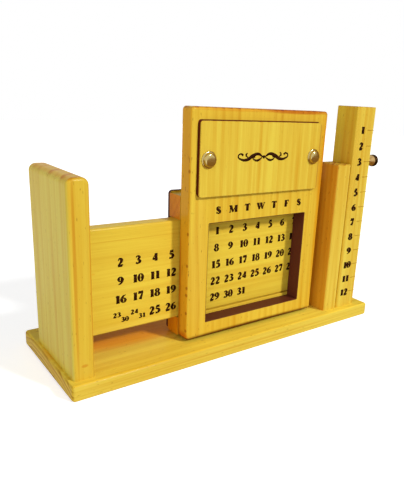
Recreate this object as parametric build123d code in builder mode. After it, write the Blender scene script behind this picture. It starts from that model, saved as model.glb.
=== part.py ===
from build123d import *
import os

# A wooden desk calendar: a date board held above a base between a left upright and a right post,
# a tall month column with a peg in one of twelve holes, and a windowed slider that runs on the board.
# Millimetres. +X runs along the base to the right, +Y to the back, +Z up.
# The origin is the centre of the base's underside.

# Base
base_length = 300.0
base_depth = 105.0
base_thickness = 12.0
base_corner_radius = 2.5
base_top_round = 2.2
base_bottom_ease = 1.2

# Left upright
upright_inset = 3.5
upright_setback = 6.0
upright_thickness = 15.0
upright_depth = 75.0
upright_height = 137.5
upright_top_round = 5.0
upright_edge_round = 2.4

# Month column, and the post that stands against it, as tall as the left upright
column_end_margin = 14.0
column_setback = 7.0
column_width = 24.0
column_depth = 24.0
column_height = 187.2
column_edge_ease = 0.6
post_width = 17.1
post_front_round = 2.6
post_top_ease = 0.8

# Date board
board_thickness = 12.5
board_height = 80.0
board_lift = 17.5
board_edge_round = 1.5
board_end_inset = 2.0

# Slider: a frame in front of the board, spacers over and under it, and a plate behind it
frame_width = 137.4
frame_height = 180.0
frame_thickness = 13.0
frame_floor_gap = 1.6
frame_corner_radius = 3.0
frame_edge_round = 1.8
frame_back_ease = 0.8
window_width = 101.0
window_below_board = 2.9
window_top_lap = 1.9
window_edge_ease = 0.4
slider_rest_gap = 9.0
board_front_gap = 1.0
board_back_gap = 2.0
board_top_gap = 0.2
board_bottom_gap = 0.5
top_spacer_height = 18.5
spacer_edge_ease = 0.5
back_plate_thickness = 3.0
back_plate_rise = 1.7
back_plate_corner_radius = 3.0
back_plate_edge_ease = 0.5

# Name plate on the slider's front, above a strip left for the weekday letters
plate_thickness = 3.0
plate_left_margin = 6.1
plate_right_margin = 9.3
plate_top_margin = 9.4
weekday_strip = 21.3
plate_corner_radius = 2.2
plate_front_ease = 0.3

# Mirror screws that hold the name plate: each is a wood screw with a domed cap on its head
cap_inset = 7.6
cap_radius = 6.5
cap_rim_height = 1.1
cap_shoulder_radius = 4.0
cap_shoulder_height = 3.0
cap_height = 3.6
cap_stud_radius = 1.2
cap_stud_length = 2.2
plate_screw_shank = 1.75
plate_screw_head = 4.0
plate_screw_bite = 9.0
plate_screw_end_gap = 0.5
plate_screw_side_gap = 0.05
countersink_angle = 90

# Month peg and its holes
month_count = 12
month_first_drop = 19.9
month_last_rise = 14.4
month_shown = 3
peg_hole_setback = 5.3
peg_pin_radius = 2.0
peg_pin_depth = 12.0
peg_side_gap = 0.05
peg_end_gap = 1.0
peg_neck_length = 5.0
peg_head_radius = 5.5
peg_head_length = 7.9
peg_head_flare = 1.6
peg_head_ease = 1.4

# Dowels: three kinds of places, between base and uprights, and between board and left upright
dowel_radius = 3.0
dowel_side_gap = 0.05
dowel_end_gap = 0.5
dowel_in_base = 7.5
dowel_in_post = 15.0
dowel_in_upright_side = 9.0
dowel_in_board = 13.0
upright_dowel_spacing = 40.0
board_dowel_spacing = 44.0

# Levels and places worked out from the sizes above
base_front = -base_depth / 2
base_top = base_thickness

upright_left = upright_inset - base_length / 2
upright_right = upright_left + upright_thickness
upright_middle = upright_left + upright_thickness / 2
upright_front = base_front + upright_setback
upright_centre = upright_front + upright_depth / 2

column_right = base_length / 2 - column_end_margin
column_left = column_right - column_width
column_middle = column_left + column_width / 2
column_front = base_front + column_setback
column_back = column_front + column_depth
column_centre = column_front + column_depth / 2
column_top = base_top + column_height
post_left = column_left - post_width
post_middle = post_left + post_width / 2
post_height = upright_height

board_front = column_back
board_back = board_front + board_thickness
board_centre = board_front + board_thickness / 2
board_length = column_right - board_end_inset - upright_right
board_bottom = base_top + board_lift
board_top = board_bottom + board_height
board_middle_height = board_bottom + board_height / 2

frame_right = post_left - slider_rest_gap
frame_left = frame_right - frame_width
frame_middle = frame_left + frame_width / 2
frame_bottom = base_top + frame_floor_gap
frame_top = frame_bottom + frame_height
frame_back = board_front - board_front_gap
frame_front = frame_back - frame_thickness
window_bottom = board_bottom - window_below_board
window_top = board_top - window_top_lap
spacer_depth = board_front_gap + board_thickness + board_back_gap
back_plate_front = frame_back + spacer_depth
back_plate_back = back_plate_front + back_plate_thickness
top_spacer_bottom = board_top + board_top_gap
top_spacer_top = top_spacer_bottom + top_spacer_height
bottom_spacer_top = board_bottom - board_bottom_gap
back_plate_top = top_spacer_top + back_plate_rise

plate_left = frame_left + plate_left_margin
plate_right = frame_right - plate_right_margin
plate_bottom = window_top + weekday_strip
plate_top = frame_top - plate_top_margin
plate_front = frame_front - plate_thickness

# Radii of the holes, and the depth of a peg hole
plate_screw_hole = plate_screw_shank + plate_screw_side_gap
plate_screw_seat = plate_screw_head + plate_screw_side_gap
dowel_hole = dowel_radius + dowel_side_gap
peg_hole = peg_pin_radius + peg_side_gap
peg_hole_depth = peg_pin_depth + peg_end_gap

# The way a screw's head or a hole's mouth faces
down, up, front, back, left, right = (0, 0, -1), (0, 0, 1), (0, -1, 0), (0, 1, 0), (-1, 0, 0), (1, 0, 0)

# Spots of the screws, dowels and peg holes: the two coordinates across the way they face
upright_dowel_spots = [
    (upright_middle, upright_centre + side * upright_dowel_spacing / 2) for side in (-1, 1)
]
post_dowel_spots = [(post_middle, column_centre)]
column_dowel_spots = [(column_middle, column_centre)]
board_dowel_spots = [
    (board_centre, board_middle_height + side * board_dowel_spacing / 2) for side in (-1, 1)
]
plate_screw_spots = [
    (side, (plate_bottom + plate_top) / 2) for side in (plate_left + cap_inset, plate_right - cap_inset)
]
month_pitch = (column_height - month_first_drop - month_last_rise) / (month_count - 1)
peg_spots = [
    (column_front + peg_hole_setback, column_top - month_first_drop - month * month_pitch)
    for month in range(month_count)
]


def places(spots, level, facing):
    """Locations of spots at one level, with their +Z the way that is faced."""
    normal = [abs(step) for step in facing].index(1)
    located = []
    for spot in spots:
        point = list(spot)
        point.insert(normal, level)
        located.append(Location(Plane(origin=point, z_dir=facing)))
    return located


def upright_rectangle(side_left, side_right, bottom, top):
    """A rectangle in the current XZ sketch, given by its four sides."""
    with Locations(((side_left + side_right) / 2, (bottom + top) / 2)):
        return Rectangle(side_right - side_left, top - bottom)


def blind_holes(spots, level, facing, radius, depth):
    """Holes of one radius and depth in the current part, their mouths facing one way."""
    with Locations(*places(spots, level, facing)):
        Hole(radius, depth)


def finish(piece, name):
    """Label a finished piece and write its file."""
    piece.part.label = name
    export_step(piece.part, f"parts/{name}.step")


os.makedirs("parts", exist_ok=True)

# Base board: rounded all round, with blind dowel holes in its top
with BuildPart() as base_board:
    with BuildSketch():
        RectangleRounded(base_length, base_depth, base_corner_radius)
    extrude(amount=base_thickness)
    fillet(base_board.faces().sort_by(Axis.Z)[-1].edges(), base_top_round)
    chamfer(base_board.faces().sort_by(Axis.Z)[0].edges(), base_bottom_ease)
    stand_dowel_spots = upright_dowel_spots + post_dowel_spots + column_dowel_spots
    blind_holes(stand_dowel_spots, base_top, up, dowel_hole, dowel_in_base + dowel_end_gap)
finish(base_board, "base_board")

# Left upright: arched top corners, rounded ends, dowel holes in its foot and its right face.
# A sketch's own Y is the height here, so its highest corners are the last along Y.
with BuildPart() as left_upright:
    with BuildSketch(Plane.XZ.offset(-upright_front)) as upright_outline:
        upright_rectangle(upright_left, upright_right, base_top, base_top + upright_height)
        fillet(upright_outline.vertices().group_by(Axis.Y)[-1], upright_top_round)
    extrude(amount=-upright_depth)
    upright_ends = left_upright.faces().sort_by(Axis.Y)
    upright_rims = (upright_ends[0].edges() + upright_ends[-1].edges()).filter_by(
        lambda edge: edge.center().Z > base_top + upright_edge_round
    )
    fillet(upright_rims, upright_edge_round)
    blind_holes(upright_dowel_spots, base_top, down, dowel_hole, dowel_in_post + dowel_end_gap)
    blind_holes(board_dowel_spots, upright_right, right, dowel_hole, dowel_in_upright_side + dowel_end_gap)
finish(left_upright, "left_upright")

# Right post: rounded front edges, an eased top and a dowel hole in its foot
with BuildPart() as right_post:
    with BuildSketch(Plane.XY.offset(base_top)) as post_outline:
        with Locations((post_middle, column_centre)):
            Rectangle(post_width, column_depth)
        fillet(post_outline.vertices().group_by(Axis.Y)[0], post_front_round)
    extrude(amount=post_height)
    chamfer(right_post.faces().sort_by(Axis.Z)[-1].edges(), post_top_ease)
    blind_holes(post_dowel_spots, base_top, down, dowel_hole, dowel_in_post + dowel_end_gap)
finish(right_post, "right_post")

# Month column: eased edges, twelve blind peg holes in its right face, a dowel hole in its foot
with BuildPart() as month_column:
    with BuildSketch(Plane.XY.offset(base_top)):
        with Locations((column_middle, column_centre)):
            Rectangle(column_width, column_depth)
    extrude(amount=column_height)
    column_rims = month_column.faces().sort_by(Axis.Z)[-1].edges()
    chamfer(month_column.edges().filter_by(Axis.Z) + column_rims, column_edge_ease)
    blind_holes(peg_spots, column_right, right, peg_hole, peg_hole_depth)
    blind_holes(column_dowel_spots, base_top, down, dowel_hole, dowel_in_post + dowel_end_gap)
finish(month_column, "month_column")

# Date board: rounded long edges, and dowel holes in its left end
with BuildPart() as date_board:
    with BuildSketch(Plane.YZ.offset(upright_right)):
        with Locations((board_centre, board_middle_height)):
            RectangleRounded(board_thickness, board_height, board_edge_round)
    extrude(amount=board_length)
    blind_holes(board_dowel_spots, upright_right, left, dowel_hole, dowel_in_board + dowel_end_gap)
finish(date_board, "date_board")

# Slider frame: one thick board with the square window cut through it
with BuildPart() as slider_frame:
    with BuildSketch(Plane.XZ.offset(-frame_back)) as frame_outline:
        upright_rectangle(frame_left, frame_right, frame_bottom, frame_top)
        fillet(frame_outline.vertices(), frame_corner_radius)
    extrude(amount=frame_thickness)
    frame_ends = slider_frame.faces().sort_by(Axis.Y)
    fillet(frame_ends[0].edges(), frame_edge_round)
    chamfer(frame_ends[-1].edges(), frame_back_ease)
    with BuildSketch(Plane.XZ.offset(-frame_back)):
        upright_rectangle(
            frame_middle - window_width / 2, frame_middle + window_width / 2, window_bottom, window_top
        )
    extrude(amount=frame_thickness, mode=Mode.SUBTRACT)
    chamfer(slider_frame.faces().sort_by(Axis.Y)[0].inner_wires().edges(), window_edge_ease)
    plate_screw_depth = plate_screw_bite + plate_screw_end_gap
    blind_holes(plate_screw_spots, frame_front, front, plate_screw_hole, plate_screw_depth)
finish(slider_frame, "slider_frame")

# Spacers: the upper one rides on the board's top edge, the lower one runs under the board
spacer_heights = {
    "slider_top_spacer": (top_spacer_bottom, top_spacer_top),
    "slider_bottom_spacer": (frame_bottom, bottom_spacer_top),
}
for name, (bottom, top) in spacer_heights.items():
    with BuildPart() as spacer:
        with BuildSketch(Plane.XZ.offset(-frame_back)):
            upright_rectangle(frame_left, frame_right, bottom, top)
        extrude(amount=-spacer_depth)
        chamfer(spacer.edges().filter_by(Axis.X), spacer_edge_ease)
    finish(spacer, name)

# Back plate: a thin board that closes the slider behind the date board
with BuildPart() as slider_back_plate:
    with BuildSketch(Plane.XZ.offset(-back_plate_front)) as back_outline:
        upright_rectangle(frame_left, frame_right, frame_bottom, back_plate_top)
        fillet(back_outline.vertices(), back_plate_corner_radius)
    extrude(amount=-back_plate_thickness)
    chamfer(slider_back_plate.faces().sort_by(Axis.Y)[-1].edges(), back_plate_edge_ease)
finish(slider_back_plate, "slider_back_plate")

# Name plate: a thin board laid on the frame's upper part
with BuildPart() as name_plate:
    with BuildSketch(Plane.XZ.offset(-frame_front)) as plate_outline:
        upright_rectangle(plate_left, plate_right, plate_bottom, plate_top)
        fillet(plate_outline.vertices(), plate_corner_radius)
    extrude(amount=plate_thickness)
    chamfer(name_plate.faces().sort_by(Axis.Y)[0].edges(), plate_front_ease)
    with Locations(*places(plate_screw_spots, plate_front, front)):
        CounterSinkHole(plate_screw_hole, plate_screw_seat, plate_thickness, countersink_angle)
finish(name_plate, "name_plate")

# Plate screw with a hole in its flat head, and the domed cap whose stud enters that hole
plate_screw_length = plate_thickness + plate_screw_bite
with BuildPart() as plate_screw:
    with BuildSketch(Plane.XZ):
        with BuildLine():
            Polyline(
                (0, 0),
                (plate_screw_head, 0),
                (plate_screw_shank, plate_screw_shank - plate_screw_head),
                (plate_screw_shank, -plate_screw_length),
                (0, -plate_screw_length),
                close=True,
            )
        make_face()
    revolve(axis=Axis.Z)
    Hole(cap_stud_radius + plate_screw_side_gap, cap_stud_length + plate_screw_end_gap)

with BuildPart() as plate_cap:
    with BuildSketch(Plane.XZ):
        with BuildLine():
            Polyline(
                (0, cap_height),
                (cap_shoulder_radius, cap_shoulder_height),
                (cap_radius, cap_rim_height),
                (cap_radius, 0),
                (cap_stud_radius, 0),
                (cap_stud_radius, -cap_stud_length),
                (0, -cap_stud_length),
                close=True,
            )
        make_face()
    revolve(axis=Axis.Z)

for side, place in zip(("left", "right"), places(plate_screw_spots, plate_front, front)):
    for name, pattern in (("plate_screw", plate_screw), ("plate_cap", plate_cap)):
        with BuildPart() as fitted:
            with Locations(place):
                add(pattern.part)
        finish(fitted, f"{name}_{side}")

# Month peg: a turned metal knob on a pin, in the hole of the month that is shown
peg_depth_place, peg_height = peg_spots[month_shown - 1]
peg_plane = Plane(origin=(column_right, peg_depth_place, peg_height))
peg_head_end = peg_neck_length + peg_head_length
with BuildPart() as month_peg:
    with BuildSketch(peg_plane):
        with BuildLine():
            Polyline(
                (-peg_pin_depth, 0),
                (-peg_pin_depth, peg_pin_radius),
                (peg_neck_length, peg_pin_radius),
                (peg_neck_length + peg_head_flare, peg_head_radius),
                (peg_head_end - peg_head_ease, peg_head_radius),
                (peg_head_end, peg_head_radius - peg_head_ease),
                (peg_head_end, 0),
                close=True,
            )
        make_face()
    revolve(axis=Axis(peg_plane.origin, right))
finish(month_peg, "month_peg")

# Dowels: each one's place on the joint that it crosses, and how far it reaches behind and ahead
stand_dowel_places = places(stand_dowel_spots, base_top, up)
board_dowel_places = places(board_dowel_spots, upright_right, right)
dowels = {
    "upright_dowel_front": (stand_dowel_places[0], dowel_in_base, dowel_in_post),
    "upright_dowel_back": (stand_dowel_places[1], dowel_in_base, dowel_in_post),
    "post_dowel": (stand_dowel_places[2], dowel_in_base, dowel_in_post),
    "column_dowel": (stand_dowel_places[3], dowel_in_base, dowel_in_post),
    "board_dowel_lower": (board_dowel_places[0], dowel_in_upright_side, dowel_in_board),
    "board_dowel_upper": (board_dowel_places[1], dowel_in_upright_side, dowel_in_board),
}
for name, (place, behind, ahead) in dowels.items():
    with BuildPart() as dowel:
        with Locations(place * Location((0, 0, (ahead - behind) / 2))):
            Cylinder(dowel_radius, behind + ahead)
    finish(dowel, name)
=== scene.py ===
"""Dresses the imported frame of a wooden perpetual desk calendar.

Everything is in the frame of the CAD model: +X runs along the base towards the month column, +Y from
the front to the back and +Z up. Lengths are written in millimetres and turned into metres where a
Blender object is made.
"""

import logging
import math
from collections.abc import Callable
from dataclasses import dataclass
from enum import Enum

import bpy
from bpy.types import Material, Object
from mathutils import Matrix, Vector


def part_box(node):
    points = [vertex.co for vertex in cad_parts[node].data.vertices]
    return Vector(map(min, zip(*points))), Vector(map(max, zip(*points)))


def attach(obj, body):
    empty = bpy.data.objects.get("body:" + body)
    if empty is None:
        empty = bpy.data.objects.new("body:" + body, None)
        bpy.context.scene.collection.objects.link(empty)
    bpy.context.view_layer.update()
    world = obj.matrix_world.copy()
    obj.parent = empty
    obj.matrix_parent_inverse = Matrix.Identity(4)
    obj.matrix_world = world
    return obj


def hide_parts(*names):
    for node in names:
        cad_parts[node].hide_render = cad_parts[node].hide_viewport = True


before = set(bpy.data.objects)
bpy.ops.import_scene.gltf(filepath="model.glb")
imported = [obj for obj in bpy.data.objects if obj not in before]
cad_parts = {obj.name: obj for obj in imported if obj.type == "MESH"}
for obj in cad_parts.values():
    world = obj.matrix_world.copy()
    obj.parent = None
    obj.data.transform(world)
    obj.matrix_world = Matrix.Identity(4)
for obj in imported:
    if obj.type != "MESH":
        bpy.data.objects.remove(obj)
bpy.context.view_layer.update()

log = logging.getLogger("desk_calendar")

Colour = tuple[float, float, float]
Point = tuple[float, float, float]
Pair = tuple[float, float]

MM = 0.001
WHITE = (1.0, 1.0, 1.0, 1.0)
TO_FRONT = (math.pi / 2, 0.0, 0.0)
TO_RIGHT = (0.0, math.pi / 2, 0.0)
PEN_WEIGHT = 2.6
BOLD_WEIGHT = 3.05
GRID = 100  # The grid's steps in a letter's height.
COLUMN_PITCH = 14.15


def node_box(node: str) -> tuple[Vector, Vector]:
    """Measures a CAD node.

    Args:
        node: The node's name.

    Returns:
        Its lowest and highest corners, in millimetres.
    """
    low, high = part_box(node)
    return Vector(low) / MM, Vector(high) / MM


def arithmetic(operation: str) -> Callable[["Signal", "Signal | float"], "Signal"]:
    """Makes a method that adds a Math node on a signal and a second operand."""
    return lambda signal, other: signal.recipe.maths(operation, signal, other)


class Signal:
    """A shader socket whose arithmetic adds Math nodes."""

    __add__ = arithmetic("ADD")
    __sub__ = arithmetic("SUBTRACT")
    __mul__ = arithmetic("MULTIPLY")
    __truediv__ = arithmetic("DIVIDE")
    __pow__ = arithmetic("POWER")

    def __init__(self, recipe: "Recipe", socket: bpy.types.NodeSocket) -> None:
        """Keeps the socket and the recipe that it belongs to."""
        self.recipe = recipe
        self.socket = socket

    def __abs__(self) -> "Signal":
        """Drops the sign."""
        return self.recipe.maths("ABSOLUTE", self)

    def fit(self, swing: float, floor: float) -> "Signal":
        """Scales the signal to a swing above a floor."""
        return self * swing + floor


class Recipe:
    """A node tree under construction."""

    def __init__(self, tree: bpy.types.NodeTree) -> None:
        """Empties the tree that it will fill."""
        self.tree = tree
        self.tree.nodes.clear()

    def node(self, kind: str, values: dict | None = None, **settings: str | bool) -> bpy.types.Node:
        """Adds one node.

        Args:
            kind: The node's type, without its leading ShaderNode.
            values: For each input, by name or number, a signal, a socket or a plain value.
            settings: The node's properties, set before its inputs.

        Returns:
            The new node.
        """
        made = self.tree.nodes.new(f"ShaderNode{kind}")
        for key, value in settings.items():
            setattr(made, key, value)
        for key, value in (values or {}).items():
            source = value.socket if isinstance(value, Signal) else value
            if isinstance(source, bpy.types.NodeSocket):
                self.tree.links.new(source, made.inputs[key])
            else:
                made.inputs[key].default_value = value
        return made

    def show(self, shader: bpy.types.Node, output: str = "OutputMaterial") -> None:
        """Sends a shader to the tree's output."""
        self.node(output, {"Surface": shader.outputs[0]})

    def maths(self, operation: str, *operands: "Signal | float") -> Signal:
        """Adds a Math node on one or two operands."""
        return Signal(self, self.node("Math", dict(enumerate(operands)), operation=operation).outputs[0])

    def ramp(self, level: Signal, stops: tuple[Pair, ...]) -> Signal:
        """Passes a level through a ramp of greys.

        Args:
            level: The level, from 0 to 1.
            stops: Each stop's place and grey.

        Returns:
            The grey.
        """
        made = self.node("ValToRGB", {"Fac": level})
        elements = made.color_ramp.elements
        while len(elements) < len(stops):
            elements.new(1.0)
        for element, (place, grey) in zip(elements, stops):
            element.position = place
            element.color = (grey, grey, grey, 1.0)
        return Signal(self, made.outputs["Color"])

    def rise(self, level: Signal, low: float, high: float) -> Signal:
        """Rises smoothly from 0 to 1 between two levels, or falls where low is above high.

        Args:
            level: The level.
            low: Where the rise is 0.
            high: Where it is 1.

        Returns:
            A share from 0 to 1.
        """
        values = {"Value": level, "From Min": min(low, high), "From Max": max(low, high)}
        values["To Min"], values["To Max"] = (0.0, 1.0) if low < high else (1.0, 0.0)
        return Signal(self, self.node("MapRange", values, interpolation_type="SMOOTHSTEP").outputs["Result"])

    def axes(self, kind: str) -> list[Signal]:
        """Reads the object's own coordinates, in metres, or its surface's facing for the kind Normal."""
        made = self.node("SeparateXYZ", {0: self.node("TexCoord").outputs[kind]})
        return [Signal(self, made.outputs[axis]) for axis in "XYZ"]

    def noise(self, place: list[Signal], detail: float = 2.0, roughness: float = 0.5) -> Signal:
        """Reads smooth noise.

        Args:
            place: The place, already scaled.
            detail: The number of finer layers.
            roughness: Their strength.

        Returns:
            The noise, about 0 to 1.
        """
        joined = self.node("CombineXYZ", dict(zip("XYZ", place))).outputs[0]
        values = {"Vector": joined, "Scale": 1.0, "Detail": detail, "Roughness": roughness}
        return Signal(self, self.node("TexNoise", values, noise_dimensions="3D").outputs[0])

    def blend(
        self, share: Signal, first: "Signal | Colour", second: "Signal | Colour", kind: str = "MIX"
    ) -> Signal:
        """Mixes two colours.

        Args:
            share: The second colour's share, from 0 to 1.
            first: The first colour.
            second: The second colour.
            kind: MIX, or MULTIPLY to stain the first colour with the second.

        Returns:
            The mixed colour.
        """
        values = {0: share}
        for key, side in ((6, first), (7, second)):
            values[key] = (*side, 1.0) if isinstance(side, tuple) else side
        made = self.node("Mix", values, data_type="RGBA", blend_type=kind, clamp_factor=True)
        return Signal(self, made.outputs[2])

    def tint(self, share: Signal, colour: Signal, stain: Colour) -> Signal:
        """Multiplies a colour by a stain, as far as the share says."""
        return self.blend(share, colour, stain, "MULTIPLY")

    def is_ray(self, *kinds: str) -> Signal:
        """Tells the kinds of rays apart.

        Args:
            kinds: Camera, Glossy, Transmission and so on.

        Returns:
            1 for rays of these kinds and 0 for others.
        """
        path = self.node("LightPath")
        either, *others = (Signal(self, path.outputs[f"Is {kind} Ray"]) for kind in kinds)
        for other in others:
            either = self.maths("MAXIMUM", either, other)
        return either


def new_material(name: str) -> tuple[Material, Recipe]:
    """Makes a material.

    Args:
        name: The material's name.

    Returns:
        The material and the recipe that fills it.
    """
    material = bpy.data.materials.new(name)
    material.use_nodes = True
    return material, Recipe(material.node_tree)


class Grain(Enum):
    """The way that a board's fibres run, as the order of its across, through and along axes."""

    UPRIGHT = (0, 1, 2)
    LEVEL = (1, 2, 0)


class Burn(Enum):
    """The side of a rectangle's edge that the laser has burnt, as the sign of the way out to it."""

    OUTSIDE = 1.0
    INSIDE = -1.0


@dataclass(frozen=True)
class Scorch:
    """The brown that a laser leaves along a rectangle's edge, seen from the front.

    The sides are in millimetres: left, right, bottom and top.
    """

    sides: tuple[float, float, float, float]
    burn: Burn
    colour: Colour = (0.080, 0.017, 0.009)
    wall: float = 0.45
    halo: float = 0.9
    corner: float = 2.2
    clean_before: float = -1000.0
    clean_behind: float = 1000.0
    edge_blur: float = 0.1
    depth_blur: float = 0.3

    def mask(self, recipe: Recipe, place: list[Signal]) -> Signal:
        """Works out how burnt each place is; only the wood between the two clean levels is burnt.

        Args:
            recipe: The material under construction.
            place: The place along X, Y and Z, in millimetres.

        Returns:
            A share from 0 to 1.
        """
        left, right, bottom, top = self.sides
        across, depth, height = place
        beside = abs(across - (left + right) / 2) - ((right - left) / 2 - self.corner)
        above = abs(height - (bottom + top) / 2) - ((top - bottom) / 2 - self.corner)
        beside, above = (recipe.maths("MAXIMUM", side, 0.0) for side in (beside, above))
        out = (beside * beside + above * above) ** 0.5 - self.corner
        sign = self.burn.value
        burnt = recipe.rise(out, sign * (self.wall + self.halo), sign * (self.wall - self.edge_blur))
        front, back, blur = self.clean_before, self.clean_behind, self.depth_blur
        burnt = burnt * recipe.rise(depth, front - blur, front + blur)
        return burnt * recipe.rise(depth, back + blur, back - blur)


@dataclass(frozen=True)
class Knot:
    """A small knot, streak or stain, or a patch of painted shade or painted highlight: its middle and its
    reach along each axis, in millimetres.
    """

    place: Point
    reach: Point
    strength: float = 0.8
    stain: Colour = (0.45, 0.22, 0.08)

    def mask(self, recipe: Recipe, place: list[Signal]) -> Signal:
        """Works out the patch's share at a place; it fades out from the middle."""
        squares = [((part - mid) / reach) ** 2.0 for part, mid, reach in zip(place, self.place, self.reach)]
        return recipe.rise(squares[0] + squares[1] + squares[2], *STAIN_AND_SHADING_FADE) * self.strength


@dataclass(frozen=True)
class Figure:
    """Noise drawn out along the fibres: its scale across and along them, per millimetre."""

    across: float
    along: float
    detail: float = 2.0
    roughness: float = 0.5
    shift: float = 0.0

    def read(self, recipe: Recipe, board: list[Signal]) -> Signal:
        """Reads the noise, about 0 to 1, at a place across, through and along a board."""
        place = [board[0] * self.across + self.shift, board[1] * self.across, board[2] * self.along]
        return recipe.noise(place, self.detail, self.roughness)


FIBRE = Figure(1.4, 0.03, 3.0, 0.6)
STREAK = Figure(0.3, 0.008)
PATCH = Figure(0.05, 0.012)
BROAD = Figure(0.022, 0.006, 1.0, shift=7.0)
SPECK = Figure(0.9, 0.2, 1.0)
WANDER = Figure(0.035, 0.007)
RING_PATCHES = (0.9, 0.2)
STREAK_SWING = 0.9
DRIFT_SWING = 1.6
END_RINGS = (0.9, 0.3)
YEAR_CHANCE = (0.9, 0.15)
YEAR_GROWTH = ((0.0, 0.0), (0.4, 0.22), (0.78, 1.0), (0.9, 0.75), (1.0, 0.0))
SPECK_LEVELS = (0.69, 0.77)
SPECK_STAIN = (0.35, 0.16, 0.06)
END_LEVELS = (0.4, 0.85)
FACE_LEVELS = (-0.5, -0.9)
STAIN_AND_SHADING_FADE = (1.0, 0.1)
RELIEF = {"Strength": 0.12, "Distance": 0.0002}
RING_RELIEF = 0.3


@dataclass(frozen=True)
class WoodFinish:
    """Varnished softwood, sawn from a log whose pith lies beside the board.

    The pith is given across and through the board, in millimetres. A stain multiplies the colour, and so do
    the left and front face shadings, which are painted light and shade on faces turned to the left or the
    front.
    """

    name: str
    grain: Grain = Grain.UPRIGHT
    pale: Colour = (0.71, 0.50, 0.045)
    deep: Colour = (0.56, 0.27, 0.008)
    end_stain: Colour = (0.60, 0.38, 0.22)
    # Painted light and shade: these multiply the colour of faces turned to the left and to the front.
    left_stain: Colour = (1.0, 1.0, 1.0)
    front_stain: Colour = (1.0, 1.0, 1.0)
    pith: Pair = (-120.0, 40.0)
    lean: float = 0.03
    wander: Pair = (9.0, 6.0)
    ring_gap: float = 5.0
    contrast: float = 0.55
    streak: float = 0.7
    drift: float = 0.5
    fleck: float = 0.5
    fibre: float = 0.5
    ground: float = 0.22
    gloss: float = 0.06
    roughness: Pair = (0.16, 0.36)
    coat: float = 0.05
    coat_swing: float = 0.06
    coat_roughness: float = 0.14
    # Knots, streaks and stains, and patches of painted shade and painted highlight.
    knots: tuple[Knot, ...] = ()
    scorches: tuple[Scorch, ...] = ()

    def material(self) -> Material:
        """Builds the wood's material.

        Returns:
            The material, read in the object's own coordinates.
        """
        material, recipe = new_material(self.name)
        place = [part * (1 / MM) for part in recipe.axes("Object")]
        facing = recipe.axes("Normal")
        board = [place[axis] for axis in self.grain.value]
        fibre, streak, patch, broad, speck = (
            figure.read(recipe, board) for figure in (FIBRE, STREAK, PATCH, BROAD, SPECK)
        )
        rings = self._rings(recipe, board)
        depth = rings * patch.fit(*RING_PATCHES) * self.contrast + (fibre - 0.5) * self.fibre
        depth = depth + (streak - 0.5) * STREAK_SWING * self.streak
        depth = depth + (broad - 0.5) * DRIFT_SWING * self.drift + self.ground
        colour = recipe.blend(depth, self.pale, self.deep)

        colour = recipe.tint(recipe.rise(speck, *SPECK_LEVELS) * self.fleck, colour, SPECK_STAIN)
        # Knots, streaks and stains, and patches of painted shade and painted highlight.
        for knot in self.knots:
            colour = recipe.tint(knot.mask(recipe, place), colour, knot.stain)
        end = recipe.rise(abs(facing[self.grain.value[2]]), *END_LEVELS)
        colour = recipe.tint(end * rings.fit(*END_RINGS), colour, self.end_stain)
        # Painted light and shade: faces turned to the left and to the front are lightened or darkened.
        for side, stain in zip(facing, (self.left_stain, self.front_stain)):
            colour = recipe.tint(recipe.rise(side, *FACE_LEVELS), colour, stain)
        for scorch in self.scorches:
            colour = recipe.blend(scorch.mask(recipe, place), colour, scorch.colour)

        relief = recipe.node("Bump", {**RELIEF, "Height": fibre + rings * RING_RELIEF})
        values = {
            "Base Color": colour,
            "Roughness": fibre.fit(*self.roughness),
            "Specular IOR Level": self.gloss,
            "Coat Weight": fibre.fit(self.coat_swing, self.coat),
            "Coat Roughness": self.coat_roughness,
            "Normal": relief.outputs["Normal"],
        }
        recipe.show(recipe.node("BsdfPrincipled", values))
        return material

    def _rings(self, recipe: Recipe, board: list[Signal]) -> Signal:
        """Draws the year rings, each darkening slowly to its late wood and ending sharply.

        Args:
            recipe: The material under construction.
            board: The place across, through and along the board.

        Returns:
            How dark the ring is.
        """
        across, through, along = board
        wander = WANDER.read(recipe, board) - 0.5
        beside = across + wander * self.wander[0] + along * self.lean - self.pith[0]
        behind = through + wander * self.wander[1] - self.pith[1]
        years = (beside * beside + behind * behind) ** 0.5 / self.ring_gap
        growth = recipe.ramp(recipe.maths("FRACT", years), YEAR_GROWTH)
        chance = recipe.node("TexWhiteNoise", {"W": recipe.maths("FLOOR", years)}, noise_dimensions="1D")
        return growth * Signal(recipe, chance.outputs[0]).fit(*YEAR_CHANCE)


@dataclass(frozen=True)
class MetalFinish:
    """Polished or plated metal with faint smears."""

    name: str
    colour: Colour
    roughness: float
    smear: float = 0.08
    smear_scale: float = 700.0
    dulling: float = 0.86
    # Painted shade: outside this radius round the axis the metal is painted dark.
    rim: float = 0.0
    rim_blur: float = 0.5
    rim_colour: Colour = (0.035, 0.016, 0.006)
    axis: Pair = (0.0, 0.0)

    def material(self) -> Material:
        """Builds the metal's material, painted dark outside its rim's radius round its axis, if it has one,
        as painted shade.

        Returns:
            The material.
        """
        material, recipe = new_material(self.name)
        place = recipe.axes("Object")
        smear = recipe.noise([part * self.smear_scale for part in place], 3.0)
        dull = tuple(self.dulling * channel for channel in self.colour)
        colour = recipe.blend(smear, self.colour, dull)
        # Painted shade: outside the rim's radius the colour goes dark.
        if self.rim:
            beside, above = (part * (1 / MM) - middle for part, middle in zip(place[1:], self.axis))
            radius = (beside * beside + above * above) ** 0.5
            rim_shade = recipe.rise(radius, self.rim - self.rim_blur, self.rim)
            colour = recipe.blend(rim_shade, colour, self.rim_colour)
        values = {"Base Color": colour, "Metallic": 1.0, "Roughness": smear.fit(self.smear, self.roughness)}
        recipe.show(recipe.node("BsdfPrincipled", values))
        return material


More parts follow.
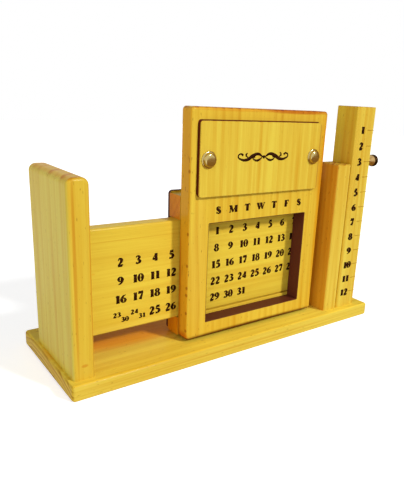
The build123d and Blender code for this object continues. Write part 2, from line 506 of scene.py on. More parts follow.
@dataclass(frozen=True)
class InkFinish:
    """Dark brown burnt print, uneven where the wood took it less."""

    name: str
    dark: Colour
    light: Colour
    wear_scale: float = 900.0
    wear_levels: Pair = (0.45, 0.75)
    roughness: Pair = (0.2, 0.55)
    gloss: float = 0.03

    def material(self) -> Material:
        """Builds the print's material.

        Returns:
            The material.
        """
        material, recipe = new_material(self.name)
        worn = recipe.noise([part * self.wear_scale for part in recipe.axes("Object")], 3.0)
        values = {
            "Base Color": recipe.blend(recipe.rise(worn, *self.wear_levels), self.dark, self.light),
            "Roughness": worn.fit(*self.roughness),
            "Specular IOR Level": self.gloss,
        }
        recipe.show(recipe.node("BsdfPrincipled", values))
        return material


@dataclass(frozen=True)
class Stroke:
    """One pull of the pen: points of x, y and pen width, on the grid."""

    points: tuple[Point, ...]
    curved: bool = False
    closed: bool = False


def line(*points: Point) -> Stroke:
    """A straight stroke through its points."""
    return Stroke(points)


def curve(*points: Point) -> Stroke:
    """A curved stroke through its points."""
    return Stroke(points, curved=True)


def bar(left: float, right: float, level: float, thick: float = 4) -> Stroke:
    """A level stroke from left to right, thin as a serif unless it is given its thickness."""
    return line((left, level, thick), (right, level, thick))


def stem(x: float, thick: float = 16) -> Stroke:
    """An upright stroke from a letter's top to its foot."""
    return line((x, 99, thick), (x, 0, thick))


def loop(x: float, y: float, wide: float, high: float, thick: float) -> Stroke:
    """An oval stroke, thick at its sides and thin at its top and bottom.

    Args:
        x: The oval's middle.
        y: The oval's middle.
        wide: Half its width, to the middle of the stroke.
        high: Half its height, to the middle of the stroke.
        thick: The pen's width at the sides.

    Returns:
        The closed stroke.
    """
    thin = 5
    corners = ((0, high, thin), (-wide, 0, thick), (0, -high, thin), (wide, 0, thick))
    points = tuple((x + dx, y + dy, width) for dx, dy, width in corners)
    return Stroke(points, curved=True, closed=True)


def glyph(*strokes: Stroke, width: float = 50) -> tuple[float, tuple[Stroke, ...]]:
    """A letter's width with its strokes, on the grid."""
    return width, strokes


GLYPHS = {
    "0": glyph(loop(25, 50, 16, 47.5, 15)),
    "1": glyph(stem(24, 15), line((6, 86, 3), (22, 96, 8)), bar(7, 41, 2), width=42),
    "2": glyph(
        curve((7, 72, 5), (22, 95, 8), (36, 74, 15), (6, 9, 5)),
        bar(5, 42, 6, 12), line((41, 4, 5), (46, 22, 4)),
    ),
    "3": glyph(
        curve((7, 80, 5), (22, 95.5, 7), (36, 76, 14), (18, 54, 4)),
        curve((18, 54, 4), (40, 29, 16), (22, 4, 7), (6, 12, 11)),
    ),
    "4": glyph(line((33, 97, 5), (4, 30, 4)), bar(2, 49, 28, 10), stem(34, 14)),
    "5": glyph(
        line((13, 92, 13), (44, 94, 13)), line((14, 94, 5), (9, 58, 4)),
        curve((9, 57, 6), (28, 58, 9), (39, 30, 16), (22, 4, 8), (6, 10, 11)),
    ),
    "6": glyph(curve((45, 97, 3), (22, 80, 9), (10, 42, 15), (14, 14, 12)), loop(26, 30, 15, 27, 13)),
    "7": glyph(bar(5, 46, 91, 14), line((44, 92, 5), (20, 0, 15)), line((5, 94, 5), (4, 74, 3))),
    "8": glyph(loop(25, 76, 13, 21, 12), loop(25, 28, 16, 26, 14)),
    "9": glyph(curve((5, 3, 3), (28, 20, 9), (40, 58, 15), (36, 86, 12)), loop(24, 70, 15, 27, 13)),
    "S": glyph(
        curve((41, 78, 4), (25, 96, 7), (12, 77, 13), (26, 52, 17), (41, 24, 13), (25, 3.5, 7), (8, 24, 4)),
        line((42, 100, 3), (42, 70, 4)), line((7, 0, 3), (7, 30, 4)), width=52,
    ),
    "M": glyph(
        line((13, 0, 5), (13, 98, 5)), line((17, 98, 16), (44, 5, 10)), line((43, 3, 4), (72, 98, 5)),
        stem(76), bar(2, 24, 2), bar(62, 90, 2), bar(2, 20, 97), bar(74, 90, 97), width=92,
    ),
    "T": glyph(
        stem(31), bar(3, 59, 96, 6), line((5, 98, 5), (3, 73, 3)), line((57, 98, 5), (59, 73, 3)),
        bar(17, 45, 2), width=62,
    ),
    "W": glyph(
        line((12, 98, 16), (32, 2, 10)), line((31, 2, 4), (50, 80, 5)), line((46, 98, 16), (67, 2, 10)),
        line((66, 2, 4), (86, 98, 5)), bar(0, 25, 97), bar(36, 60, 97), bar(76, 96, 97), width=98,
    ),
    "F": glyph(
        stem(17), bar(4, 51, 96, 6), line((50, 98, 5), (52, 72, 3)), bar(17, 38, 52, 5),
        line((38, 64, 3), (38, 40, 3)), bar(4, 32, 2), width=56,
    ),
}
HALF_SCROLL = (
    curve(
        (10, 2, 5), (55, 30, 11), (105, 10, 15), (150, -22, 12),
        (200, -20, 8), (230, 10, 6), (210, 34, 6), (186, 20, 9),
    ),
    curve((16, -4, 4), (50, -30, 9), (86, -26, 7), (98, -4, 5), (80, 2, 7)),
    curve((145, -2, 4), (162, 22, 8), (150, 42, 4)),
)
TICK = line((0, 0, 4), (100, 0, 2.5))


def mirrored(stroke: Stroke) -> Stroke:
    """The same stroke, drawn to the left of the middle."""
    return Stroke(tuple((-x, y, width) for x, y, width in stroke.points), stroke.curved, stroke.closed)


SCROLL = (
    *HALF_SCROLL,
    *(mirrored(stroke) for stroke in HALF_SCROLL),
    loop(0, 0, 4.5, 10, 9),
)


def deselect() -> None:
    """Lets go of everything, because operators act on all that is selected."""
    bpy.ops.object.select_all(action="DESELECT")


def choose(*objects: Object) -> None:
    """Selects only some objects and makes the first one active.

    Args:
        objects: The objects.
    """
    deselect()
    for one in objects:
        one.select_set(True)
    bpy.context.view_layer.objects.active = objects[0]


def settle(piece: Object, place: Point, turn: Point) -> None:
    """Turns and moves a piece, and applies both.

    Args:
        piece: The piece, made at the origin.
        place: Where its origin goes, in millimetres.
        turn: Its Euler angles.
    """
    piece.location = Vector(place) * MM
    piece.rotation_euler = turn
    choose(piece)
    bpy.ops.object.transform_apply(location=True, rotation=True, scale=True)


def dress(piece: Object, material: Material) -> None:
    """Gives the whole of a piece one material.

    Args:
        piece: The piece.
        material: Its material.
    """
    if not piece.material_slots:
        piece.data.materials.append(material)
    for slot in piece.material_slots:
        slot.material = material


class Pen:
    """A flat pen that writes strokes as thin raised ribbons.

    Letters are spread sideways by a fixed share, and the strokes are made bolder by the pen's weight.
    """

    thickness = 0.02
    spread = 1.38
    curve_steps = 5
    weld_gap = 0.0005

    def __init__(self, weight: float) -> None:
        """Cuts the nib, a flat rectangle one unit wide."""
        self.weight = weight
        corners = ((-0.5, 0.0), (0.5, 0.0), (0.5, self.thickness), (-0.5, self.thickness))
        self.nib = self._bezier([(x, y, 1.0) for x, y in corners], curved=False, closed=True)

    def draw(self, name: str, strokes: tuple[Stroke, ...]) -> Object:
        """Writes some strokes as one flat mesh; a letter is one unit high.

        Args:
            name: The mesh object's name.
            strokes: The pulls of the pen.

        Returns:
            The object, lying in the XY plane and facing +Z.
        """
        pulls = [self._pull(stroke) for stroke in strokes]
        choose(*pulls)
        bpy.ops.object.convert(target="MESH")
        if len(pulls) > 1:
            bpy.ops.object.join()
        written = bpy.context.object
        written.name = name
        bpy.ops.object.mode_set(mode="EDIT")
        bpy.ops.mesh.select_all(action="SELECT")
        bpy.ops.mesh.remove_doubles(threshold=self.weld_gap)
        bpy.ops.mesh.normals_make_consistent(inside=False)
        bpy.ops.object.mode_set(mode="OBJECT")
        return written

    def _pull(self, stroke: Stroke) -> Object:
        """Lays one stroke.

        Args:
            stroke: The stroke.

        Returns:
            A curve with the nib along it.
        """
        points = (tuple(part / GRID for part in point) for point in stroke.points)
        knots = [(x * self.spread, y, width * self.weight) for x, y, width in points]
        pull = self._bezier(knots, stroke.curved, stroke.closed)
        pull.data.bevel_mode = "OBJECT"
        pull.data.bevel_object = self.nib
        pull.data.use_fill_caps = True
        return pull

    def _bezier(self, knots: list[Point], curved: bool, closed: bool) -> Object:
        """Adds a flat curve.

        Args:
            knots: The x, y and radius of each of its points.
            curved: Whether it bends smoothly, or runs straight between its points.
            closed: Whether it ends where it began.

        Returns:
            The curve.
        """
        deselect()
        bpy.ops.curve.primitive_bezier_curve_add()
        made = bpy.context.object
        made.data.dimensions = "2D"
        made.data.fill_mode = "NONE"
        track = made.data.splines[0]
        track.bezier_points.add(len(knots) - 2)
        handle = "AUTO" if curved else "VECTOR"
        for knot, (x, y, radius) in zip(track.bezier_points, knots):
            knot.co = (x, y, 0.0)
            knot.radius = radius
            knot.handle_left_type = handle
            knot.handle_right_type = handle
        track.use_cyclic_u = closed
        track.resolution_u = self.curve_steps if curved else 1
        return made

    def put_away(self) -> None:
        """Removes the nib, which isn't part of the calendar."""
        bpy.data.objects.remove(self.nib)


@dataclass
class Lathe:
    """A lathe that turns round pieces from stations of radius and height, in millimetres."""

    sides: int = 48
    smooth_angle: float = 40.0

    def turn(self, name: str, stations: tuple[Pair, ...]) -> Object:
        """Draws a ring out through its stations and closes both ends.

        Args:
            name: The piece's name.
            stations: Radius and height of each ring from the bottom up; the last ring closes to a point.

        Returns:
            The piece, standing on the origin along +Z.
        """
        radius, height = stations[0]
        deselect()
        bpy.ops.mesh.primitive_circle_add(
            vertices=self.sides, radius=radius * MM, fill_type="NGON", location=(0.0, 0.0, height * MM)
        )
        piece = bpy.context.object
        piece.name = name
        bpy.ops.object.transform_apply(location=True)
        bpy.ops.object.mode_set(mode="EDIT")
        bpy.ops.mesh.select_all(action="SELECT")
        for wider, higher in stations[1:]:
            bpy.ops.mesh.extrude_region_move(
                TRANSFORM_OT_translate={"value": (0.0, 0.0, (higher - height) * MM)}
            )
            bpy.ops.transform.resize(value=(wider / radius, wider / radius, 1.0))
            radius, height = wider, higher
        bpy.ops.mesh.merge(type="CENTER")
        bpy.ops.mesh.select_all(action="SELECT")
        bpy.ops.mesh.normals_make_consistent(inside=False)
        bpy.ops.object.mode_set(mode="OBJECT")
        bpy.ops.object.shade_smooth_by_angle(angle=math.radians(self.smooth_angle))
        return piece


@dataclass(frozen=True)
class Word:
    """A number or letter to print: its text, its middle in X and Z, its height and stretch."""

    text: str
    x: float
    z: float
    height: float
    stretch: float


@dataclass
class Print:
    """Print on a surface that faces the front, in one dark ink."""

    name: str
    body: str
    level: float
    ink: Material
    tracking: float = 0.06

    def stamp(self, words: list[Word], letters: dict[str, Object]) -> None:
        """Copies the letters to their places and joins them.

        Args:
            words: What is printed, in millimetres.
            letters: Each letter's flat drawing, one unit high.
        """
        stamped = []
        for word in words:
            broad = word.height * word.stretch
            widths = [GLYPHS[letter][0] / GRID * Pen.spread for letter in word.text]
            start = -(sum(widths) + self.tracking * (len(widths) - 1)) / 2
            for letter, width in zip(word.text, widths):
                place = (word.x + start * broad, word.z - word.height / 2)
                stamped.append(self.copy(letters[letter], place, (broad, word.height)))
                start += width + self.tracking
        self.join(stamped)

    def copy(self, drawing: Object, place: Pair, scale: Pair) -> Object:
        """Copies a flat drawing and turns the copy to face the front at its place.

        Args:
            drawing: The drawing, lying in the XY plane.
            place: Where its own origin goes along X and Z, in millimetres.
            scale: The length of one of its units across and up, in millimetres.

        Returns:
            The copy, with its place applied.
        """
        copy = drawing.copy()
        copy.data = drawing.data.copy()
        bpy.context.collection.objects.link(copy)
        copy.scale = Vector((*scale, scale[1])) * MM
        settle(copy, (place[0], self.level, place[1]), TO_FRONT)
        return copy

    def join(self, drawings: list[Object]) -> None:
        """Joins drawings into the print's one piece, inked and riding on its body.

        Args:
            drawings: The copies in their places.
        """
        choose(*drawings)
        if len(drawings) > 1:
            bpy.ops.object.join()
        piece = bpy.context.object
        piece.name = self.name
        dress(piece, self.ink)
        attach(piece, self.body)
        log.info("printed %s", self.name)


@dataclass
class Stand:
    """The base, upright, post, month column and date board, with the dates and months on them."""

    ink: Material
    pale_ink: Material
    letters: dict[str, Object]
    bold_letters: dict[str, Object]
    pitch: float = COLUMN_PITCH
    row_gap: float = 14.3
    first_column: float = -100.3
    first_drop: float = 12.2
    digit_height: float = 6.1
    digit_stretch: float = 1.1
    columns: int = 13
    rows: int = 5
    first_day: int = -5
    last_day: int = 31
    week: int = 7
    small_height: float = 3.6
    small_stretch: float = 1.2
    small_offset: Pair = (3.2, 2.2)
    month_place: float = 121.3
    month_drop: float = 19.9
    month_last_rise: float = 14.4
    month_height: float = 6.0
    month_stretch: float = 1.25
    month_count: int = 12
    tick_start: float = 127.6
    tick_length: float = 6.2

    def woods(self) -> dict[str, WoodFinish]:
        """Chooses each board's cut from the log.

        Returns:
            Each node's finish.
        """
        orange = (0.95, 0.66, 0.35)
        brown = (0.85, 0.62, 0.40)
        base, upright, board = (node_box(node)[0] for node in ("base_board", "left_upright", "date_board"))
        return {
            "base_board": WoodFinish(
                "base_pine", Grain.LEVEL, pith=(10, -160), ring_gap=3.6, lean=0.006,
                pale=(0.90, 0.69, 0.076), deep=(0.66, 0.35, 0.011), gloss=0.03, coat=0.03,
                # Painted shade: the front face is multiplied darker than the top.
                end_stain=(0.44, 0.27, 0.05), front_stain=(0.79, 0.79, 0.95),
                knots=(
                    Knot((0, base.y, 6.6), (170, 3, 0.9), 0.6, brown),
                    Knot((base.x, 0, 7.6), (3, 60, 1.3), 0.5, brown),
                    # Painted contact shadow: a dark line along the bottom of the left end, where it meets
                    # the floor.
                    Knot((base.x, 0, 0), (3, 90, 2.2), 0.8, (0.50, 0.30, 0.12)),
                    # Painted shade: an orange-brown patch on the top, under and behind the date board.
                    Knot((-78, 2, 12), (92, 23, 3), 0.95, (0.98, 0.50, 0.01)),
                ),
            ),
            "left_upright": WoodFinish(
                "upright_pine", pith=(-40, -160), ring_gap=9.0, contrast=0.45, streak=1.4,
                # Painted light: the left face is made paler and whiter.
                pale=(0.66, 0.465, 0.045), end_stain=(0.78, 0.50, 0.02), left_stain=(1.03, 1.17, 1.6),
                knots=(
                    Knot((-138.6, upright.y, 22.2), (3, 4, 1.5), 0.7, (0.85, 0.5, 0.2)),
                    Knot((-143, upright.y, 84), (1.5, 4, 90), 0.8, brown),
                    Knot((-131.8, upright.y, 84), (1.6, 4, 90), 0.9, orange),
                ),
            ),
            "right_post": WoodFinish(
                "post_pine", pith=(60, 30), streak=1.2,
                # Painted shade: the left face is made darker and more orange.
                pale=(0.70, 0.505, 0.06), left_stain=(0.98, 0.645, 0.32),
            ),
            "month_column": WoodFinish(
                "column_pine", pith=(240, 60), streak=1.2,
                # Painted shade: the left face is tinted warmer and darker in blue.
                pale=(0.70, 0.53, 0.065), left_stain=(1.05, 0.97, 0.55),
            ),
            "date_board": WoodFinish(
                "board_pine", Grain.LEVEL, pith=(90, -140), contrast=0.08, streak=0.9, drift=0.4,
                pale=(0.74, 0.545, 0.05), fleck=0.12,
                knots=(
                    Knot((29, board.y, 55), (3.6, 3, 1.2), 0.8, (0.9, 0.5, 0.2)),
                    # Painted highlight: the lower part of the board is made paler and whiter.
                    Knot((-95, board.y, 31), (60, 3, 6), 0.8, (1.06, 1.12, 1.5)),
                    Knot((33.5, board.y, 53), (2.2, 3, 0.9), 0.6, orange),
                    Knot((-121, board.y, 77), (2, 3, 1), 0.4, orange),
                    Knot((-90, board.y, 99.5), (60, 3, 0.5), 0.5, brown),
                ),
            ),
        }

    def build(self) -> None:
        """Dresses the stand's boards and prints on them."""
        for node, finish in self.woods().items():
            dress(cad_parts[node], finish.material())
        board_low, board_high = node_box("date_board")
        Print("date_numbers", "stand", board_low.y, self.ink).stamp(self.dates(board_high.z), self.letters)
        column_low, column_high = node_box("month_column")
        drop = self.month_drop + self.month_last_rise
        gap = (column_high.z - column_low.z - drop) / (self.month_count - 1)
        levels = [column_high.z - self.month_drop - month * gap for month in range(self.month_count)]
        months = [
            Word(str(month), self.month_place, level, self.month_height, self.month_stretch)
            for month, level in enumerate(levels, start=1)
        ]
        Print("month_numbers", "stand", column_low.y, self.ink).stamp(months, self.bold_letters)
        marks = Print("month_ticks", "stand", column_low.y, self.pale_ink)
        tick = self.letters["tick"]
        marks.join([marks.copy(tick, (self.tick_start, level), (self.tick_length,) * 2) for level in levels])

    def dates(self, board_top: float) -> list[Word]:
        """Lays out the thirteen columns of dates.

        Args:
            board_top: The height of the board's upper edge, in millimetres.

        Returns:
            The dates, the last two of each of the first two columns small and set askew.
        """
        words = []
        for column in range(self.columns):
            x = self.first_column + column * self.pitch
            for row in range(self.rows):
                day = self.first_day + column + self.week * row
                middle = board_top - self.first_drop - row * self.row_gap
                if row == self.rows - 1 and day + self.week <= self.last_day:
                    words += self._shared_place(day, x, middle)
                elif 1 <= day <= self.last_day:
                    words.append(Word(str(day), x, middle, self.digit_height, self.digit_stretch))
        return words

    def _shared_place(self, day: int, x: float, middle: float) -> list[Word]:
        """Sets two dates of one weekday small, above and below each other.

        Args:
            day: The first date.
            x: The column's middle.
            middle: The row's middle.

        Returns:
            Both dates.
        """
        aside, apart = self.small_offset
        size = (self.small_height, self.small_stretch)
        return [
            Word(str(day), x - aside, middle + apart, *size),
            Word(str(day + self.week), x + aside, middle - apart, *size),
        ]


@dataclass
class Slider:
    """The windowed frame with its spacers, back plate, name plate and caps, and the weekdays on it."""

    ink: Material
    letters: dict[str, Object]
    chrome: Material
    steel: Material
    window_width: float = 101.0
    window_below_board: float = 2.9
    window_top_lap: float = 1.9
    weekdays: str = "SMTWTFS"
    weekday_first: float = 26.5
    weekday_pitch: float = COLUMN_PITCH
    weekday_rise: float = 10.1
    weekday_height: float = 5.5
    weekday_stretch: float = 1.2
    specks: tuple[float, ...] = (22, 37, 52, 58, 76, 101, 148)
    around_shift: tuple[float, ...] = (-0.5, -0.35, 1.2, 0.5)
    far_side_shift: tuple[float, ...] = (-4.0, 0.0, -4.0, 4.0)
    burn_depth: float = 0.9
    line_depth: float = 1.0
    scroll_height: float = 8.0
    scroll_place: Pair = (-1.2, 1.0)
    cap_profile: tuple[Pair, ...] = (
        (6.3, 0), (6.5, 0.2), (6.45, 0.5), (6.1, 0.85), (5.6, 1), (5.35, 1), (5.2, 1.2), (5.15, 1.8),
        (5, 2.5), (4.7, 3), (4.3, 3.3), (3.7, 3.46), (2.8, 3.54), (1.5, 3.59), (0.1, 3.6),
    )

    def woods(self) -> dict[str, WoodFinish]:
        """Chooses each board's cut from the log, and where the laser burnt it.

        Returns:
            Each node's finish.
        """
        low, high = node_box("slider_frame")
        board_low, board_high = node_box("date_board")
        plate_low, plate_high = node_box("name_plate")
        back_low, back_high = node_box("slider_back_plate")
        middle = (low.x + high.x) / 2
        half = self.window_width / 2
        sill, lintel = board_low.z - self.window_below_board, board_high.z - self.window_top_lap
        window = (middle - half, middle + half, sill, lintel)
        plate = (plate_low.x, plate_high.x, plate_low.z, plate_high.z)
        around = tuple(side + shift for side, shift in zip(plate, self.around_shift))
        far_side = tuple(side + shift for side, shift in zip(plate, self.far_side_shift))
        back = (back_low.x, back_high.x, back_low.z, back_high.z)
        warm = (1.06, 0.80, 0.42)
        worn = (0.90, 0.80, 0.60)
        brown = (1.12, 0.63, 0.11)
        burnt = (0.11, 0.017, 0.004)
        # Painted shade: the spacers' left faces are tinted darker and redder.
        spacer = {"contrast": 0.15, "end_stain": worn, "left_stain": brown}
        return {
            "slider_frame": WoodFinish(
                "frame_pine", pith=(-260, 30), ring_gap=7.0, contrast=0.8, fleck=0.8,
                # Painted shade: the frame's left face is tinted darker and more orange.
                end_stain=(0.45, 0.19, 0.06), left_stain=warm,
                knots=(
                    Knot((high.x - 1.6, low.y, 103), (3.6, 6, 110), 0.9, (0.95, 0.70, 0.26)),
                    Knot((high.x - 4, low.y, 157), (7, 6, 46), 0.8, (0.95, 0.74, 0.40)),
                    Knot((low.x + 9, low.y, 72), (10, 3, 75), 0.8, (0.96, 0.88, 0.98)),
                    Knot((middle, low.y, high.z - 5), (90, 3, 7), 0.8, (0.97, 0.90, 0.80)),
                    # Painted shade: a dark band down the left face's back edge, beside the date board.
                    Knot((low.x, high.y, 50), (3, 4.5, 75), 0.9, (0.66, 0.38, 0.16)),
                    # Painted shade: darker at the front of the left face's lower end, near the base.
                    Knot((low.x, low.y + 5, low.z), (3, 10, 8), 0.85, (0.80, 0.40, 0.16)),
                    Knot((middle + 36, low.y, high.z - 0.6), (48, 8, 3), 0.9, (0.72, 0.30, 0.10)),
                    Knot((middle - 30, low.y, high.z - 0.4), (60, 8, 2.6), 0.7, (0.95, 0.62, 0.3)),
                    # Painted shadow: a dark line along the frame's bottom edge, over the gap above the base.
                    Knot((middle, low.y, low.z - 0.6), (140, 30, 4.6), 1, (0.14, 0.03, 0.01)),
                    # Painted shade: a dark line down the frame's right side, beside the post.
                    Knot((high.x + 0.4, low.y + 1, 58), (1.8, 6, 60), 0.8, (0.62, 0.25, 0.08)),
                    *(Knot((low.x, low.y + 1.5, level), (1.4, 1.6, 1.8), 0.7) for level in self.specks),
                ),
                scorches=(
                    Scorch(window, Burn.OUTSIDE, (0.105, 0.024, 0.012), wall=0.4, halo=0.5, corner=0.5),
                    Scorch(around, Burn.OUTSIDE, burnt, 0.2, 0.3, clean_behind=low.y + self.line_depth),
                ),
            ),
            "slider_top_spacer": WoodFinish("spacer_pine", Grain.LEVEL, **spacer),
            "slider_bottom_spacer": WoodFinish("lower_spacer_pine", Grain.LEVEL, **spacer),
            "slider_back_plate": WoodFinish(
                "back_pine", pith=(-90, 90),
                scorches=(Scorch(back, Burn.INSIDE, halo=0.4),),
            ),
            "name_plate": WoodFinish(
                "plate_pine", pith=(260, 60), ring_gap=6.0, contrast=0.3, streak=1.5,
                pale=(0.69, 0.515, 0.055), drift=0.25, fleck=0.1,
                scorches=(
                    Scorch(far_side, Burn.INSIDE, (0.46, 0.22, 0.02), wall=0.8, halo=0.8),
                    Scorch(plate, Burn.INSIDE, burnt, 0.1, 0.3, clean_before=plate_low.y + self.burn_depth),
                ),
            ),
        }

    def build(self) -> None:
        """Dresses the slider's boards, prints on them and sets the caps."""
        for node, finish in self.woods().items():
            dress(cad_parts[node], finish.material())
        low = node_box("slider_frame")[0]
        middle = node_box("date_board")[1].z - self.window_top_lap + self.weekday_rise
        days = []
        for turn, day in enumerate(self.weekdays):
            x = low.x + self.weekday_first + turn * self.weekday_pitch
            days.append(Word(day, x, middle, self.weekday_height, self.weekday_stretch))
        Print("weekday_letters", "slider", low.y, self.ink).stamp(days, self.letters)
        self._draw_scroll()
        for side in ("left", "right"):
            self._set_cap(side)
            dress(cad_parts[f"plate_screw_{side}"], self.steel)

    def _draw_scroll(self) -> None:
        """Puts a plain scroll on the plate, between the caps."""
        low, high = node_box("name_plate")
        x = (low.x + high.x) / 2 + self.scroll_place[0]
        z = (low.z + high.z) / 2 + self.scroll_place[1]
        scroll = Print("plate_scroll", "slider", low.y, self.ink)
        scroll.join([scroll.copy(self.letters["scroll"], (x, z), (self.scroll_height,) * 2)])

    def _set_cap(self, side: str) -> None:
        """Turns one domed cap and sets it over its screw.

        Args:
            side: left or right.
        """
        node = f"plate_cap_{side}"
        low, high = node_box(node)
        cap = Lathe().turn(f"dome_{side}", self.cap_profile)
        foot = low.y + self.cap_profile[-1][1]
        settle(cap, ((low.x + high.x) / 2, foot, (low.z + high.z) / 2), TO_FRONT)
        dress(cap, self.chrome)
        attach(cap, "slider")
        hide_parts(node)
        log.info("set %s", cap.name)


@dataclass
class MonthPeg:
    """The turned knob whose pin marks the month."""

    colour: Colour = (0.59, 0.39, 0.16)
    roughness: float = 0.3
    # Radius beyond which the knob is painted dark, as painted shade.
    rim: float = 5.0
    profile: tuple[Pair, ...] = (
        (1.7, 0), (2, 0.4), (2, 16.6), (2.4, 17), (3.3, 18.2), (4.2, 19.6), (4.9, 20.6),
        (5.35, 21), (5.5, 21.6), (5.5, 23.2), (5.2, 24.1), (4.5, 24.6), (3, 24.85), (0.2, 24.9),
    )

    def build(self) -> None:
        """Turns the knob and puts its pin in the hole."""
        low, high = node_box("month_peg")
        axis = ((low.y + high.y) / 2, (low.z + high.z) / 2)
        metal = MetalFinish("nickel_rim_shaded", self.colour, self.roughness, rim=self.rim, axis=axis).material()
        dress(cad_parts["month_peg"], metal)
        knob = Lathe().turn("peg_knob", self.profile)
        settle(knob, (low.x, *axis), TO_RIGHT)
        dress(knob, metal)
        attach(knob, "peg")
        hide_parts("month_peg")
        log.info("set %s", knob.name)


@dataclass
class Viewpoint:
    """Where the photograph was taken from, in metres and degrees."""

    place: Point = (-0.256394, -0.355233, 0.200510)
    heading: float = 38.261
    dip: float = 16.854
    roll: float = 3.153
    lens: float = 37.67
    shift_x: float = -0.0707
    shift_y: float = 0.0139
    clip_start: float = 0.01

    def set_camera(self) -> None:
        """Makes the scene's camera."""
        heading, dip, roll = (math.radians(angle) for angle in (self.heading, self.dip, self.roll))
        forward = Vector(
            (math.sin(heading) * math.cos(dip), math.cos(heading) * math.cos(dip), -math.sin(dip))
        )
        level = Vector((math.cos(heading), -math.sin(heading), 0.0))
        rise = level.cross(forward)
        right = level * math.cos(roll) + rise * math.sin(roll)
        up = rise * math.cos(roll) - level * math.sin(roll)
        lens = bpy.data.cameras.new("photo_camera")
        lens.lens = self.lens
        lens.shift_x = self.shift_x
        lens.shift_y = self.shift_y
        lens.clip_start = self.clip_start
        camera = bpy.data.objects.new("photo_camera", lens)
        turn = Matrix((right, up, -forward)).transposed().to_4x4()
        camera.matrix_world = Matrix.Translation(self.place) @ turn
        bpy.context.collection.objects.link(camera)
        bpy.context.scene.camera = camera


@dataclass(frozen=True)
class Lamp:
    """A far lamp: its strength, the way that its light travels and how broad it looks, in degrees."""

    name: str
    strength: float
    travel: Point
    angle: float

    def hang(self) -> Object:
        """Hangs the lamp in the scene.

        Returns:
            The lamp's object.
        """
        sun = bpy.data.lights.new(self.name, "SUN")
        sun.energy = self.strength
        sun.angle = math.radians(self.angle)
        hung = bpy.data.objects.new(self.name, sun)
        hung.rotation_euler = Vector(self.travel).to_track_quat("-Z", "Y").to_euler()
        bpy.context.collection.objects.link(hung)
        return hung


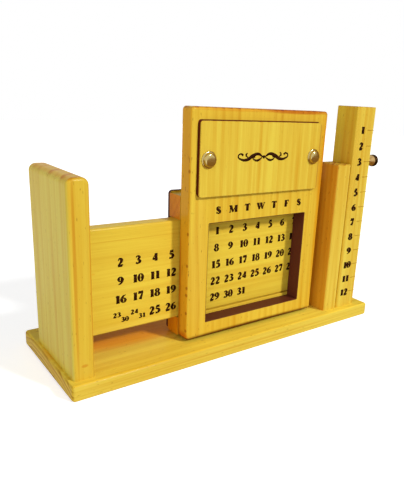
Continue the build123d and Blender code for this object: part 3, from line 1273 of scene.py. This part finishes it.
@dataclass
class SoftLight:
    """The studio: a key lamp from the right front and above, a weak fill from the left and a pale floor."""

    key: Lamp = Lamp("key_light", 2.5, (-0.5, 1.0, -0.76), 7.0)
    fill: Lamp = Lamp("fill_light", 1.65, (0.9, 0.45, -0.2), 70.0)
    world_level: float = 0.25
    floor_half: float = 3.0
    floor_level: float = -0.0002
    floor_colour: Colour = (0.8, 0.8, 0.8)
    floor_glow: float = 0.62
    cards: tuple[tuple[Point, Point], ...] = (
        ((1.38, -1.0, 0.001), (0.0, 0.0, 1.0)),
        ((1.6, 0.0, 1.2), (-1.0, 0.0, 0.0)),
    )
    card_half: float = 1.5
    card_colour: Colour = (0.44, 0.25, 0.08)

    def light(self) -> None:
        """Hangs the lamps and sets the world, the floor and the brown cards."""
        bpy.context.scene.view_settings.view_transform = "Standard"
        self.key.hang()
        self.fill.hang().visible_glossy = False
        self._set_world()
        self._lay_floor()
        for place, facing in self.cards:
            self._set_card(place, facing)

    def _set_world(self) -> None:
        """Shows white to the camera, to gloss and to glass, and lights the rest at the plain level."""
        world = bpy.data.worlds.new("studio_world")
        world.use_nodes = True
        bpy.context.scene.world = world
        recipe = Recipe(world.node_tree)
        shown = recipe.is_ray("Camera", "Glossy", "Transmission")
        level = shown * (1.0 - self.world_level) + self.world_level
        recipe.show(recipe.node("Background", {"Color": WHITE, "Strength": level}), "OutputWorld")

    def _lay_floor(self) -> None:
        """Lays a broad pale floor that shows white and keeps the object's shadow."""
        deselect()
        bpy.ops.mesh.primitive_plane_add(size=2 * self.floor_half, location=(0.0, 0.0, self.floor_level))
        floor = bpy.context.object
        floor.name = "studio_floor"
        material, recipe = new_material("floor_paper")
        paper = recipe.node("BsdfDiffuse", {"Color": (*self.floor_colour, 1.0)})
        glow = recipe.is_ray("Camera", "Glossy") * self.floor_glow
        lit = recipe.node("Emission", {"Color": WHITE, "Strength": glow})
        recipe.show(recipe.node("AddShader", {0: paper.outputs[0], 1: lit.outputs[0]}))
        dress(floor, material)

    def _set_card(self, place: Point, facing: Point) -> None:
        """Sets a brown card, seen only in gloss, so that metal shows its shape.

        Args:
            place: Its middle, in metres.
            facing: The way that it faces.
        """
        deselect()
        turn = Vector(facing).to_track_quat("Z", "Y").to_euler()
        bpy.ops.mesh.primitive_plane_add(size=2 * self.card_half, location=place, rotation=turn)
        card = bpy.context.object
        card.name = "studio_card"
        material, recipe = new_material("card_paper")
        recipe.show(recipe.node("BsdfDiffuse", {"Color": (*self.card_colour, 1.0)}))
        dress(card, material)
        bpy.ops.object.transform_apply(location=True, rotation=True)
        for ray in ("camera", "diffuse", "shadow", "transmission"):
            setattr(card, f"visible_{ray}", False)


def draw_letters(weight: float) -> dict[str, Object]:
    """Draws each letter once, and the tick and the scroll with them.

    Args:
        weight: How bold the strokes are.

    Returns:
        Each drawing by its name, lying flat and one unit high.
    """
    pen = Pen(weight)
    drawings = {letter: pen.draw(f"letter_{letter}", strokes) for letter, (_, strokes) in GLYPHS.items()}
    drawings["tick"] = pen.draw("tick", (TICK,))
    drawings["scroll"] = pen.draw("scroll", SCROLL)
    pen.put_away()
    return drawings


def main() -> None:
    """Lights the scene, then dresses the calendar body by body."""
    logging.basicConfig(level=logging.INFO, format="%(message)s")
    Viewpoint().set_camera()
    SoftLight().light()
    ink = InkFinish("burnt_print", dark=(0.024, 0.006, 0.001), light=(0.062, 0.018, 0.005)).material()
    pale_ink = InkFinish("pale_print", dark=(0.40, 0.19, 0.015), light=(0.55, 0.33, 0.03)).material()
    chrome = MetalFinish("chrome", colour=(0.60, 0.46, 0.17), roughness=0.13).material()
    steel = MetalFinish("zinc_steel", colour=(0.6, 0.58, 0.5), roughness=0.3).material()
    dowel = WoodFinish("dowel_beech", contrast=0.2).material()
    letters = draw_letters(PEN_WEIGHT)
    bold_letters = draw_letters(BOLD_WEIGHT)
    Stand(ink, pale_ink, letters, bold_letters).build()
    Slider(ink, letters, chrome, steel).build()
    MonthPeg().build()
    for node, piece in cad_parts.items():
        if "dowel" in node:
            dress(piece, dowel)
        elif node.startswith("plate_cap"):
            dress(piece, chrome)
    for drawing in (*letters.values(), *bold_letters.values()):
        bpy.data.objects.remove(drawing)


if __name__ == "__main__":
    main()
